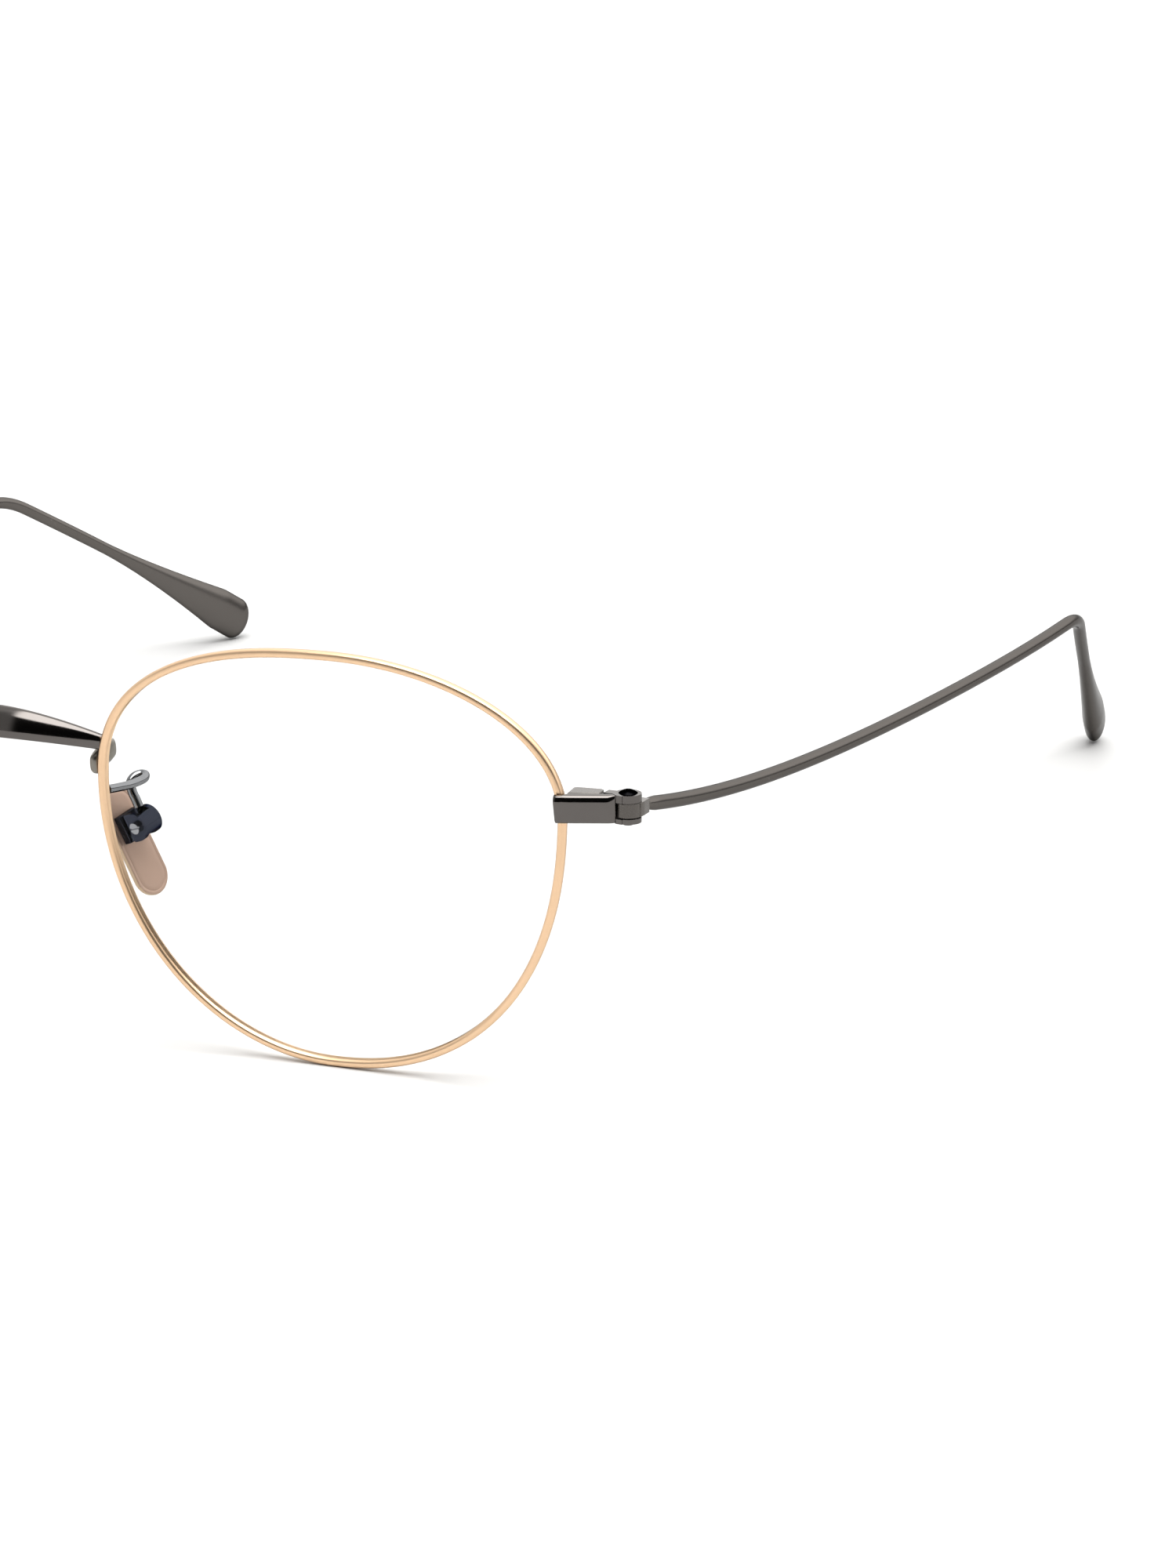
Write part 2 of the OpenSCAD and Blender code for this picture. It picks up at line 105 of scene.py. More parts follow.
# Roundings of the endpiece: its ends, the heights and depths of its lower front, upper front and back
# corners, and the most that the depths may take of its thickness
END_DRAW = 0.06
CORNER_LOW, CORNER_HIGH, CORNER_BACK = 0.3, 0.85, 0.14
DEPTH_LOW, DEPTH_HIGH, DEPTH_BACK = 0.3, 0.5, 0.14
FRONT_SHARE, BACK_SHARE = 0.8, 0.1

# Temple path, in mm from the datum, and the shares of the drop over which its paddle swells
TEMPLE_START = np.array([64.4, 8.09, 28.68])
TEMPLE_BEND = np.array([68.5, 111.4, 24.2])
TEMPLE_DROP = np.array([-11.0, 36.3, -21.62])
BOW_X, DIP_Z, DIP_SKEW_Z, RIPPLE_Z, BEND_REACH = 1.0, -2.21, -0.95, -0.9, 4.0
FALL_HOLLOW = np.array([-0.2, 0.0, 0.3])
SWELL_START, SWELL_SPAN, SWELL_POWER = 0.42, 0.5, 1.6
TIP_CAP = 2.1

# The wire's first rings behind the hinge: place along the run and share of the full radius
OPENING_AT = np.array([0.0, 0.0012, 0.004, 0.009, 0.0145, 0.02])
OPENING_RADIUS = np.array([0.6, 0.72, 0.76, 0.86, 0.95, 1.0])

# Wire route of a nose pad arm and the pad's middle, in mm from the datum, and the pad's angles in degrees
PAD_ARM_ROUTE = [
    (10.55, 1.55, 25.25), (10.65, 3.0, 25.05), (10.8, 4.8, 24.85), (11.05, 6.4, 24.85),
    (11.15, 7.5, 24.95), (10.85, 8.15, 25.1), (10.35, 8.15, 25.1), (9.95, 7.6, 24.9),
    (9.8, 7.15, 24.4), (10.05, 7.0, 23.6), (10.5, 6.95, 22.8), (10.8, 6.93, 22.15),
]
PAD_AT = (9.75, 8.0, 18.35)
PAD_SPLAY, PAD_FRONTAL, PAD_VERTICAL = 17.0, 20.0, 14.0
PAD_EDGE_R = 0.16
ARM_GROWTH = 0.06

# Bridge bar, in mm from the datum: half its span, and y and z at its middle with their change to the ends
BRIDGE_HALF = 10.3
BRIDGE_Y, BRIDGE_SWEEP = -1.5, 2.9
BRIDGE_Z, BRIDGE_DROP = 31.6, -1.72
BRIDGE_TAPER, BRIDGE_THINNING, BRIDGE_SECTION = 1.6, 0.3, 2.15

# Balls whose soft hull is a bridge foot: middle, in mm from the datum, and radius
FOOT_BALLS = np.array([
    [9.35, 1.45, 28.2, 0.62], [9.35, 1.5, 27.3, 0.62],
    [10.0, 2.8, 29.4, 0.74], [10.05, 2.8, 28.6, 0.74],
])
FOOT_PULL = 6.0

# Roundings of CAD copies: merging distance in m, angle that counts as flat, angle that counts as an edge
SAME_PLACE = 2e-6
SAME_PLANE, EDGE_ANGLE = math.radians(0.8), math.radians(28.0)
EDGE_STEPS = 3

# Noise scales of the metals, in cells per metre
CLOUD_SCALE, FINE_SCALE = 140.0, 2600.0

# An antireflection coating leaves a lens with the reflection of a much lower index
COATED_IOR = 1.1


# ---- sizes and colours ---------------------------------------------------------------


def length(name, text, millimetres):
    """A size in metres, given here in millimetres."""
    return bpy.props.FloatProperty(
        name=name, description=text, default=millimetres * MM, precision=5,
        min=0.0, unit="LENGTH", subtype="DISTANCE",
    )


def colour(name, text, rgb):
    """A linear colour of three channels."""
    return bpy.props.FloatVectorProperty(
        name=name, description=text, default=rgb, size=3, min=0.0, max=1.0, subtype="COLOR",
    )


def share(name, text, value, top=1.0):
    """A plain number from 0 to the top."""
    return bpy.props.FloatProperty(
        name=name, description=text, default=value, min=0.0, max=top, subtype="FACTOR",
    )


class SpectaclesRimSizes(bpy.types.PropertyGroup):
    """Sizes of the rims and lenses."""

    nasal: length("Nasal width", "Lens shape width on the nose side of its widest level", 24.1)
    temporal: length("Temporal width", "Lens shape width on the temple side", 23.3)
    brow: length("Brow height", "Lens shape above its widest level", 14.1)
    cheek: length("Cheek depth", "Lens shape below its widest level", 26.8)
    wire_width: length("Wire width", "Rim wire seen from the front", 0.86)
    wire_depth: length("Wire depth", "Rim wire front to back", 1.2)
    lens: length("Lens thickness", "Distance between the lens faces where they meet the bevel", 0.52)


class SpectaclesBridgeSizes(bpy.types.PropertyGroup):
    """Sizes of the bridge bar."""

    middle: length("Middle height", "Bridge bar height at its middle", 3.2)
    end: length("End height", "Bridge bar height where it meets the rims", 1.45)
    thick: length("Thickness", "Bridge bar front to back", 1.5)
    lean: bpy.props.FloatProperty(
        name="Lean", description="Backward lean of the bar's upper edge at its middle", subtype="ANGLE",
        unit="ROTATION", default=math.radians(28.0), min=0.0, max=math.radians(45.0),
    )


class SpectaclesTempleSizes(bpy.types.PropertyGroup):
    """Sizes of the temples."""

    wire: length("Wire", "Diameter of the temple wire", 1.4)
    paddle_width: length("Paddle width", "Width of the paddle at the tip", 5.2)
    paddle_thick: length("Paddle thickness", "Thickness of the paddle at the tip", 2.5)


class SpectaclesPadSizes(bpy.types.PropertyGroup):
    """Sizes of the nose pads and their arms."""

    long: length("Length", "Length of a nose pad", 11.5)
    wide: length("Width", "Width of a nose pad", 4.2)
    thick: length("Thickness", "Thickness of a nose pad", 0.65)
    arm: length("Arm wire", "Radius of the pad arm at the rim", 0.42)


class SpectaclesFinishes(bpy.types.PropertyGroup):
    """Colours of the finishes."""

    gold: colour("Rim gold", "Champagne gold plating of the rims", (0.84, 0.585, 0.375))
    polished: colour("Polished gunmetal", "Bridge, endpieces and hinge barrels", (0.128, 0.118, 0.112))
    satin: colour("Satin gunmetal", "Temples and rim locks", (0.118, 0.108, 0.1))
    hardware: colour("Pad hardware", "Pad boxes and bosses", (0.036, 0.04, 0.055))
    arm: colour("Pad arm", "Bright wire of the pad arms", (0.2, 0.202, 0.208))
    dark_screw: colour("Dark screws", "Hinge and rim lock screws", (0.004, 0.004, 0.0045))
    bright_screw: colour("Bright screws", "Pad screws", (0.3, 0.305, 0.32))
    pad: colour("Pad metal", "Matte nose pads", (0.39, 0.272, 0.21))
    pad_edge: colour("Pad edge", "Plated edge of the nose pads", (0.5, 0.37, 0.25))
    braze: colour("Braze", "Feet of the bridge", (0.22, 0.205, 0.18))
    lens: colour("Lens", "Clear lens tint", (0.985, 0.995, 1.0))


class SpectaclesStage(bpy.types.PropertyGroup):
    """Floor tone and light strengths."""

    floor: share("Floor tone", "Brightness of the pale floor", 0.54)
    overhead: share("Overhead", "Strength of the light above", 6.5, 20.0)
    behind: share("Behind", "Strength of the light behind the object", 2.1, 20.0)
    horizon: share("Horizon", "Strength of the low light behind the object", 0.4, 20.0)
    beside: share("Beside", "Strength of the light on both sides", 1.1, 20.0)
    front: share("Front", "Strength of the light behind the camera", 0.015, 20.0)
    nose_side: share("Nose side", "Strength beside the dark zone on the nose side", 0.5, 20.0)


# ---- numpy surfaces --------------------------------------------------------------------


def turn_x(degrees):
    """Matrix of a turn about x: y goes to (cos, sin) and z to (-sin, cos)."""
    c, s = math.cos(math.radians(degrees)), math.sin(math.radians(degrees))
    return np.array([[1, 0, 0], [0, c, -s], [0, s, c]])


def turn_y(degrees):
    """Matrix of a turn about y: z goes to (cos, sin) and x to (-sin, cos), in z and x."""
    c, s = math.cos(math.radians(degrees)), math.sin(math.radians(degrees))
    return np.array([[c, 0, s], [0, 1, 0], [-s, 0, c]])


def turn_z(degrees):
    """Matrix of a turn about z: x goes to (cos, sin) and y to (-sin, cos)."""
    c, s = math.cos(math.radians(degrees)), math.sin(math.radians(degrees))
    return np.array([[c, -s, 0], [s, c, 0], [0, 0, 1]])


def unit(v):
    """Vectors divided by their lengths."""
    return v / np.linalg.norm(v, axis=-1, keepdims=True)


def from_datum(points):
    """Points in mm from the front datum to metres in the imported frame."""
    return (np.asarray(points, float) + (0, DATUM_Y, 0)) * MM


LENS_TURN = turn_x(90 + LEAN) @ turn_y(WRAP)
PAD_TURN = turn_z(90 - PAD_SPLAY) @ turn_x(90 - PAD_FRONTAL) @ turn_z(PAD_VERTICAL)


def from_lens_plane(points):
    """Lens plane points (temple, up, forward) turned by the wrap, then by the lean, and moved to the lens
    middle."""
    return from_datum(points @ LENS_TURN.T + LENS_MIDDLE)


def from_pad_plane(points):
    """Pad plane points (back edge, up, away from the nose) turned by the three pad angles and moved to the
    pad."""
    return from_datum(points @ PAD_TURN.T + PAD_AT)


def finished(name, vertices, faces, material, uv=None, marks=None, sharp=None):
    """A mesh object from arrays, with outward normals, smooth shading, and an optional UV map and point
    attribute."""
    mesh = bpy.data.meshes.new(name)
    mesh.from_pydata(vertices.tolist(), [], faces)
    if uv is not None:
        layer = mesh.uv_layers.new(name="along")
        layer.data.foreach_set("uv", np.asarray(uv, np.float32).ravel())
    if marks is not None:
        attribute = mesh.attributes.new("edge_mark", "FLOAT", "POINT")
        attribute.data.foreach_set("value", np.asarray(marks, np.float32))
    shell = bmesh.new()
    shell.from_mesh(mesh)
    bmesh.ops.recalc_face_normals(shell, faces=shell.faces)
    shell.to_mesh(mesh)
    shell.free()
    mesh.shade_smooth()
    if sharp is not None:
        mesh.set_sharp_from_angle(angle=math.radians(sharp))
    mesh.materials.append(material)
    obj = bpy.data.objects.new(name, mesh)
    bpy.context.scene.collection.objects.link(obj)
    return obj


def tube_faces(n, m):
    """Quads between n rings of m points by index arithmetic."""
    i = np.arange(n - 1)[:, None] * m
    j = np.arange(m)[None, :]
    k = (j + 1) % m
    return np.stack(np.broadcast_arrays(i + j, i + k, i + m + k, i + m + j), -1).reshape(-1, 4)


def skin(name, rings, material, marks=None, sharp=None, tips=(None, None)):
    """Closed surface through rings (n, m, 3). Each end is closed by a fan to its middle, or to a given tip.
    The UV map holds the distance along the middle line in mm and the share of the way round."""
    n, m, _ = rings.shape
    middle = rings.mean(1)
    ends = [middle[e] if tip is None else np.asarray(tip) for e, tip in zip((0, -1), tips)]
    vertices = np.concatenate([rings.reshape(-1, 3), np.array(ends)])
    quads = tube_faces(n, m)
    j = np.arange(m)
    k = (j + 1) % m
    first = np.stack([np.full(m, n * m), k, j], -1)
    last = np.stack([np.full(m, n * m + 1), (n - 1) * m + j, (n - 1) * m + k], -1)
    run = np.concatenate([[0], np.cumsum(np.linalg.norm(np.diff(middle, axis=0), axis=1))]) / MM
    i = np.repeat(np.arange(n - 1), m)
    jj = np.tile(j, n - 1)
    along = np.stack([run[i], run[i], run[i + 1], run[i + 1]], -1)
    around = np.stack([jj, jj + 1, jj + 1, jj], -1) / m
    fan = np.stack([j + 0.5, j + 1, j], -1) / m
    uv = np.concatenate([
        np.stack([along, around], -1).reshape(-1, 2),
        np.stack([np.full((m, 3), run[0]), fan], -1).reshape(-1, 2),
        np.stack([np.full((m, 3), run[-1]), fan], -1).reshape(-1, 2),
    ])
    if marks is not None:
        marks = np.concatenate([marks.ravel(), marks[0, :1], marks[-1, :1]])
    faces = quads.tolist() + first.tolist() + last.tolist()
    return finished(name, vertices, faces, material, uv, marks, sharp)


def for_side(rings, side):
    """The left side's rings, or their mirror image with each ring turned round so that faces stay outward."""
    return rings if side == "left" else rings[:, ::-1] * (-1, 1, 1)


def directions(path):
    """Unit direction at each path point, from the point before to the point after."""
    ahead = np.concatenate([path[1:], path[-1:]])
    behind = np.concatenate([path[:1], path[:-1]])
    return unit(ahead - behind)


def swept(path, side, half_side, half_across, count, power=2.0):
    """Superellipse carried along a path: point = path + side * a * |cos|^(2/p) + across * b * |sin|^(2/p),
    where side is made square to the path and across is square to both."""
    t = directions(path)
    side = unit(side - t * (side * t).sum(-1, keepdims=True))
    across = np.cross(side, t)
    angle = np.linspace(0, 2 * np.pi, count, endpoint=False)
    c, s = np.cos(angle), np.sin(angle)
    c, s = (np.sign(v) * np.abs(v) ** (2 / power) for v in (c, s))
    a = np.broadcast_to(half_side, len(path))[:, None, None]
    b = np.broadcast_to(half_across, len(path))[:, None, None]
    return path[:, None] + side[:, None] * a * c[None, :, None] + across[:, None] * b * s[None, :, None]


def carried(path, start):
    """Side vectors carried along a path without twist: each is the one before, made square to the new
    direction."""
    sides, side = [], np.asarray(start, float)
    for t in directions(path):
        side = unit(side - t * (side @ t))
        sides.append(side)
    return np.array(sides)


def curve_through(points, steps):
    """Catmull-Rom curve: on each span, half of 2b + (c-a)t + (2a-5b+4c-d)t^2 + (3b-a-3c+d)t^3."""
    p = np.asarray(points, float)
    p = np.concatenate([p[:1], p, p[-1:]])
    t = (np.arange(steps) / steps)[None, :, None]
    a, b, c, d = (p[k:len(p) - 3 + k, None] for k in range(4))
    square, cube = 2 * a - 5 * b + 4 * c - d, 3 * b - a - 3 * c + d
    spans = 0.5 * (2 * b + (c - a) * t + square * t**2 + cube * t**3)
    return np.concatenate([spans.reshape(-1, 3), p[-1:]])


def softened(name, node, material, width):
    """A merged copy of a CAD node with its flat facets joined and its edges rounded by a bevel of that width
    in mm."""
    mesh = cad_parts[node].data.copy()
    mesh.name = name
    shell = bmesh.new()
    shell.from_mesh(mesh)
    bmesh.ops.remove_doubles(shell, verts=shell.verts, dist=SAME_PLACE)
    bmesh.ops.dissolve_limit(shell, angle_limit=SAME_PLANE, verts=shell.verts, edges=shell.edges)
    bmesh.ops.recalc_face_normals(shell, faces=shell.faces)
    shell.to_mesh(mesh)
    shell.free()
    mesh.shade_smooth()
    mesh.set_sharp_from_angle(angle=EDGE_ANGLE)
    mesh.materials.clear()
    mesh.materials.append(material)
    obj = bpy.data.objects.new(name, mesh)
    bpy.context.scene.collection.objects.link(obj)
    bevel = obj.modifiers.new("rounded edges", "BEVEL")
    bevel.width = width * MM
    bevel.segments = EDGE_STEPS
    bevel.limit_method = "ANGLE"
    bevel.angle_limit = EDGE_ANGLE
    return obj


def placed(obj, body, slot, *nodes):
    """The piece rides on its body and stands for the CAD nodes, which it hides. The slot is not used."""
    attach(obj, body)
    if nodes:
        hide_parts(*nodes)
    return obj


# ---- shader graphs -----------------------------------------------------------------------


class Wire:
    """An output socket; +, - and * on it add Math nodes."""

    def __init__(self, graph, socket):
        self.graph, self.socket = graph, socket

    def _maths(self, operation, first, second):
        return self.graph("ShaderNodeMath", {"operation": operation}, {0: first, 1: second})

    def __add__(self, other):
        return self._maths("ADD", self, other)

    def __radd__(self, other):
        return self._maths("ADD", other, self)

    def __sub__(self, other):
        return self._maths("SUBTRACT", self, other)

    def __rsub__(self, other):
        return self._maths("SUBTRACT", other, self)

    def __mul__(self, other):
        return self._maths("MULTIPLY", self, other)

    def __rmul__(self, other):
        return self._maths("MULTIPLY", other, self)


class Graph:
    """A material's or world's nodes. Calling it adds one: its settings are set first, then its inputs."""

    def __init__(self, owner):
        owner.use_nodes = True
        self.tree = owner.node_tree
        self.tree.nodes.clear()

    def __call__(self, kind, settings=None, inputs=None, out=0):
        node = self.tree.nodes.new(kind)
        for key, value in (settings or {}).items():
            if key == "stops":
                self._set_stops(node.color_ramp, value)
            else:
                setattr(node, key, value)
        for key, value in (inputs or {}).items():
            if isinstance(value, Wire):
                self.tree.links.new(value.socket, node.inputs[key])
            else:
                node.inputs[key].default_value = value
        return Wire(self, node.outputs[out]) if len(node.outputs) else None

    @staticmethod
    def _set_stops(ramp, stops):
        while len(ramp.elements) < len(stops):
            ramp.elements.new(1.0)
        for element, (place, rgb) in zip(ramp.elements, stops):
            element.position = place
            element.color = (*rgb, 1.0)

    def mix(self, factor, first, second):
        """Colour mix of two colours by a factor."""
        return self(
            "ShaderNodeMix", {"data_type": "RGBA"}, {0: factor, 6: rgba(first), 7: rgba(second)}, 2,
        )

    def noise(self, where, scale, detail=3.0, rough=0.55, stretch=None):
        """Noise from 0 to 1 at a scale in cells per unit, stretched by a Mapping node if asked."""
        if stretch is not None:
            where = self("ShaderNodeMapping", {}, {"Vector": where, "Scale": stretch})
        return self(
            "ShaderNodeTexNoise", {},
            {"Vector": where, "Scale": scale, "Detail": detail, "Roughness": rough},
        )

    def band(self, value, low, high):
        """0 below low, 1 above high, and a smooth step between."""
        return self(
            "ShaderNodeMapRange", {"interpolation_type": "SMOOTHSTEP"},
            {"Value": value, "From Min": low, "From Max": high},
        )

    def surface(self, shader):
        """Ends a material's graph in this shader."""
        self("ShaderNodeOutputMaterial", {}, {"Surface": shader})


def rgba(value):
    """A colour for a socket: a wire as it is, or three numbers with full alpha."""
    return value if isinstance(value, Wire) else (*value[:3], 1.0)


def times(rgb, k):
    """A colour made lighter or darker by the factor k, at most 1 in each channel."""
    return tuple(min(1.0, v * k) for v in rgb)


def plated_metal(name, rgb, rough, spread, grain, grain_depth, worn, rim_light=1.0, along_path=False):
    """Plated metal: clouded colour, uneven roughness, a fine grain in the bump, and worn spots that show the
    base metal. The rim light is how bright it turns at a glancing angle."""
    material = bpy.data.materials.new(name)
    g = Graph(material)
    where = g("ShaderNodeTexCoord", out="Object")
    clouds = g.noise(where, CLOUD_SCALE, 4.0)
    fine = g.noise(where, FINE_SCALE, 3.0)
    if along_path:
        lanes = g("ShaderNodeUVMap", {"uv_map": "along"})
        brushed = g.noise(lanes, 1.0, 4.0, 0.65, (0.9, 46.0, 1.0))
    else:
        brushed = g.noise(where, grain, 4.0, 0.6)
    tone = g.mix(clouds, times(rgb, 0.9), times(rgb, 1.08))
    tone = g.mix(brushed * 0.35, tone, rgba(times(rgb, 0.86)))
    spots = g.band(clouds * 0.55 + fine * 0.45, 0.62, 0.74)
    tone = g.mix(spots * 0.5, tone, worn)
    uneven = rough + (clouds - 0.5) * spread + (brushed - 0.5) * spread + spots * 0.06
    bump = g(
        "ShaderNodeBump", {},
        {"Strength": 0.35, "Distance": grain_depth * MM, "Height": brushed + fine * 0.4},
    )
    g.surface(g(
        "ShaderNodeBsdfPrincipled", {},
        {
            "Base Color": tone, "Metallic": 1.0, "Roughness": uneven, "Normal": bump,
            "Specular Tint": (rim_light, rim_light, rim_light, 1.0),
        },
    ))
    return material


def pad_metal(name, rgb, edge_rgb):
    """Matte titanium face with a warmer plated edge, marked by the pad's own point attribute."""
    material = bpy.data.materials.new(name)
    g = Graph(material)
    where = g("ShaderNodeTexCoord", out="Object")
    edge = g("ShaderNodeAttribute", {"attribute_name": "edge_mark"}, out="Fac")
    clouds = g.noise(where, 220.0, 4.0)
    fine = g.noise(where, 5200.0, 2.0)
    tone = g.mix(clouds, times(rgb, 0.93), times(rgb, 1.06))
    tone = g.mix(fine * 0.3, tone, times(rgb, 0.85))
    tone = g.mix(g.band(edge, 0.35, 0.8), tone, edge_rgb)
    uneven = 0.5 + (clouds - 0.5) * 0.12 + (fine - 0.5) * 0.1 - edge * 0.12
    bump = g("ShaderNodeBump", {}, {"Strength": 0.4, "Distance": 0.01 * MM, "Height": fine + clouds * 0.5})
    g.surface(g(
        "ShaderNodeBsdfPrincipled", {},
        {"Base Color": tone, "Metallic": 0.75, "Roughness": uneven, "Normal": bump},
    ))
    return material


def lens_glass(name, rgb):
    """Clear lens with the faintest smears in its polish."""
    material = bpy.data.materials.new(name)
    g = Graph(material)
    where = g("ShaderNodeTexCoord", out="Object")
    smear = g.noise(where, 90.0, 3.0, 0.5, (1.0, 1.0, 2.2))
    dust = g.band(g.noise(where, 1500.0, 2.0), 0.7, 0.85)
    tone = g.mix(smear, rgb, times(rgb, 0.995))
    g.surface(g(
        "ShaderNodeBsdfPrincipled", {},
        {
            "Base Color": tone, "Roughness": 0.004 + smear * 0.006 + dust * 0.01,
            "Transmission Weight": 1.0, "IOR": COATED_IOR,
        },
    ))
    return material


MADE = {}


def make_materials():
    """Every finish by name, from the colours in the scene's settings."""
    f = bpy.context.scene.spectacles_finishes
    base_metal = (0.34, 0.33, 0.32)
    steel = (0.45, 0.45, 0.46)
    return {
        "gold": plated_metal(
            "champagne gold plating", tuple(f.gold), 0.32, 0.08, 2600.0, 0.0012, (0.9, 0.68, 0.45), 0.6,
        ),
        "polished": plated_metal(
            "polished gunmetal", tuple(f.polished), 0.12, 0.06, 2400.0, 0.001, base_metal, 0.7,
        ),
        "satin": plated_metal(
            "satin gunmetal", tuple(f.satin), 0.22, 0.1, 2400.0, 0.004, (0.2, 0.19, 0.18), 0.5,
            along_path=True,
        ),
        "satin_flat": plated_metal(
            "satin gunmetal blocks", tuple(f.satin), 0.28, 0.12, 2200.0, 0.003, base_metal,
        ),
        "braze": plated_metal("brazed feet", tuple(f.braze), 0.3, 0.1, 2400.0, 0.002, base_metal),
        "hardware": plated_metal(
            "pad hardware plating", tuple(f.hardware), 0.1, 0.06, 3000.0, 0.001, (0.1, 0.1, 0.11), 0.25,
        ),
        "arm": plated_metal("pad arm wire", tuple(f.arm), 0.08, 0.06, 3000.0, 0.001, base_metal, 0.6),
        "dark_screw": plated_metal(
            "blackened steel", tuple(f.dark_screw), 0.14, 0.08, 3600.0, 0.001, (0.02, 0.02, 0.02), 0.08,
        ),
        "bright_screw": plated_metal(
            "bright steel", tuple(f.bright_screw), 0.2, 0.1, 3600.0, 0.002, steel, 0.8,
        ),
        "pad": pad_metal("matte pad titanium", tuple(f.pad), tuple(f.pad_edge)),
        "lens": lens_glass("clear lens", tuple(f.lens)),
    }


def material(key):
    """The finish of that name; all are made on first use."""
    if not MADE:
        MADE.update(make_materials())
    return MADE[key]


# ---- shapes ------------------------------------------------------------------------------


def shape_point(degrees):
    """Superellipse of four quadrants: x = width * |cos|^(2/p), y = height * |sin|^(2/p), with a shear of x
    by y."""
    sizes = bpy.context.scene.spectacles_rims
    c, s = np.cos(np.radians(degrees)), np.sin(np.radians(degrees))
    nasal, brow = c < 0, s >= 0
    power = np.where(
        brow, np.where(nasal, BROW_NASAL, BROW_TEMPORAL), np.where(nasal, CHEEK_NASAL, CHEEK_TEMPORAL),
    )
    y = np.where(brow, sizes.brow, sizes.cheek) / MM * np.sign(s) * np.abs(s) ** (2 / power)
    x = np.where(nasal, sizes.nasal, sizes.temporal) / MM * np.sign(c) * np.abs(c) ** (2 / power)
    return np.stack([WIDEST_U + x + SHEAR * y, WIDEST_V + y], -1)


def shell_point(degrees, k, r, h):
    """Lens shape moved out by r, scaled by k, dropped onto the sphere of the lens curve and lifted off it by
    h."""
    away = unit(shape_point(degrees + 1) - shape_point(degrees - 1))
    normal = np.stack([away[..., 1], -away[..., 0]], -1)
    q = np.asarray(k)[..., None] * (shape_point(degrees) + np.asarray(r)[..., None] * normal)
    z = np.sqrt(BASE_R**2 - (q**2).sum(-1)) - BASE_R
    out = unit(np.stack([q[..., 0], q[..., 1], z + BASE_R], -1))
    return np.stack([q[..., 0], q[..., 1], z], -1) + np.asarray(h)[..., None] * out


def rim_profile():
    """Rounded wire section, out and forward: a superellipse, with a V groove for the lens cut into its inner
    side."""
    sizes = bpy.context.scene.spectacles_rims
    a, b, power = sizes.wire_width / MM / 2, sizes.wire_depth / MM / 2, WIRE_SECTION
    meet = math.asin((GROOVE_HALF / b) ** (power / 2))
    angle = np.linspace(-np.pi + meet, np.pi - meet, 34)
    c, s = np.cos(angle), np.sin(angle)
    r = a * np.sign(c) * np.abs(c) ** (2 / power)
    h = b * np.sign(s) * np.abs(s) ** (2 / power)
    return np.concatenate([np.stack([r, h], -1), [[GROOVE_R, 0.0]]])


def rim_rings(side):
    """The wire section carried round the lens shape, from one side of the rim's slit to the other."""
    profile = rim_profile()
    t = np.linspace(RIM_OPEN + RIM_SLIT, RIM_OPEN + 360 - RIM_SLIT, 361)[:, None]
    t = np.broadcast_to(t, (len(t), len(profile)))
    rings = shell_point(t, np.ones(t.shape), *(np.broadcast_to(v, t.shape) for v in profile.T))
    return for_side(from_lens_plane(rings), side)


def lens_rings(side):
    """Front face, V bevel and back face of a lens as one run of rings from pole to pole. The faces are
    parallel and meet the bevel inside the rim groove."""
    sizes = bpy.context.scene.spectacles_rims
    edge = -sizes.wire_width / MM / 2 - BEVEL_GAP
    half = sizes.lens / MM / 2
    face = np.linspace(0.06, 1.0, 16)
    k = np.concatenate([face, [1.0], face[::-1]])
    r = np.concatenate([face * edge, [GROOVE_R - BEVEL_GAP], face[::-1] * edge])
    h = np.repeat([half, 0, -half], [len(face), 1, len(face)])
    t = np.linspace(RIM_OPEN, RIM_OPEN + 360, 192, endpoint=False)[None, :]
    shape = (len(k), t.size)
    rings = shell_point(np.broadcast_to(t, shape), *(np.broadcast_to(v[:, None], shape) for v in (k, r, h)))
    poles = [for_side(from_lens_plane(np.array([[[0.0, 0.0, z]]])), side)[0, 0] for z in (half, -half)]
    return for_side(from_lens_plane(rings), side), poles


class SPECTACLES_OT_rims(bpy.types.Operator):
    """Two rim wires, each open by a hair behind its endpiece."""

    bl_idname = "spectacles.rims"
    bl_label = "Rims"

    def execute(self, context):
        for side in SIDES:
            obj = skin(f"rim_wire_{side}", rim_rings(side), material("gold"), sharp=40)
            placed(obj, "front", "rim_gold", f"rim_{side}")
        return {"FINISHED"}


class SPECTACLES_OT_lenses(bpy.types.Operator):
    """Two clear lenses with a V bevel in the rim groove."""

    bl_idname = "spectacles.lenses"
    bl_label = "Lenses"

    def execute(self, context):
        for side in SIDES:
            rings, poles = lens_rings(side)
            obj = skin(f"lens_glass_{side}", rings, material("lens"), sharp=30, tips=poles)
            obj.visible_shadow = False
            placed(obj, "front", "lens_clear", f"lens_{side}")
        return {"FINISHED"}


